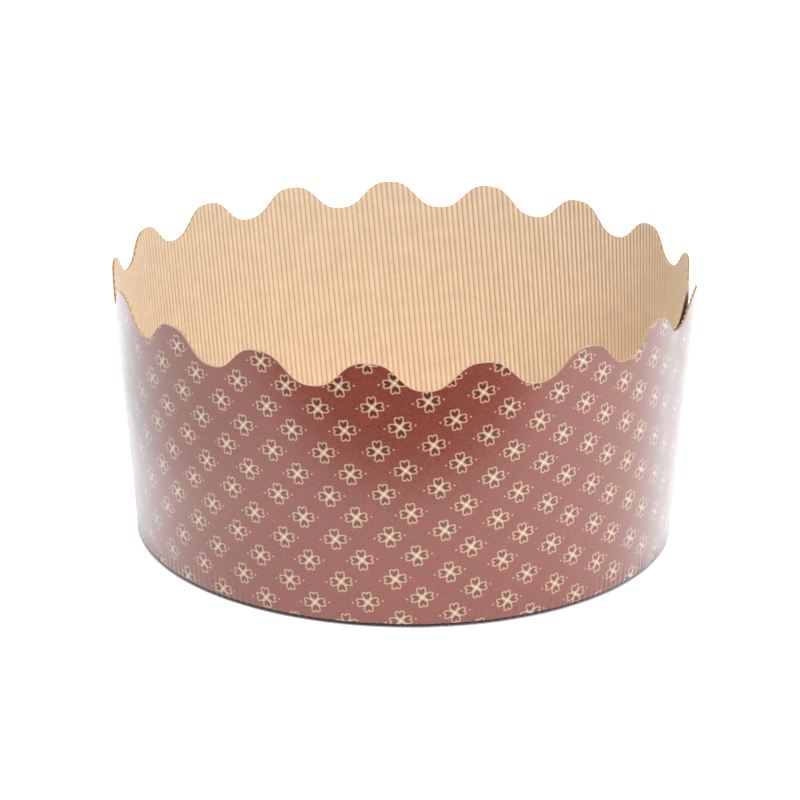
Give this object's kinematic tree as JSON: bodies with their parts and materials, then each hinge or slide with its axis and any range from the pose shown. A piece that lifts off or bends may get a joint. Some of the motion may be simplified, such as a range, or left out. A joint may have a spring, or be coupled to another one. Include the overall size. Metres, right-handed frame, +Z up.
{
  "type": "paper baking mould",
  "caption": "Tapered round baking cup of micro-corrugated board with a scalloped rim, a lapped side seam and a glued floor.",
  "frame": {"origin": "centre of the foot, on the plane that the folded hem rests on", "axes": "+Z up out of the cup's mouth, front of the mould towards -Y, lap seam on the +X side"},
  "size_m": [0.1681, 0.1703, 0.0791],
  "materials": {
    "printed_board": "glossy red-brown print outside, matt kraft flutes inside",
    "kraft_board": "matt"
  },
  "bodies": {
    "root": {"side_wall": "printed_board", "base_disc": "kraft_board"}
  },
  "joints": []
}
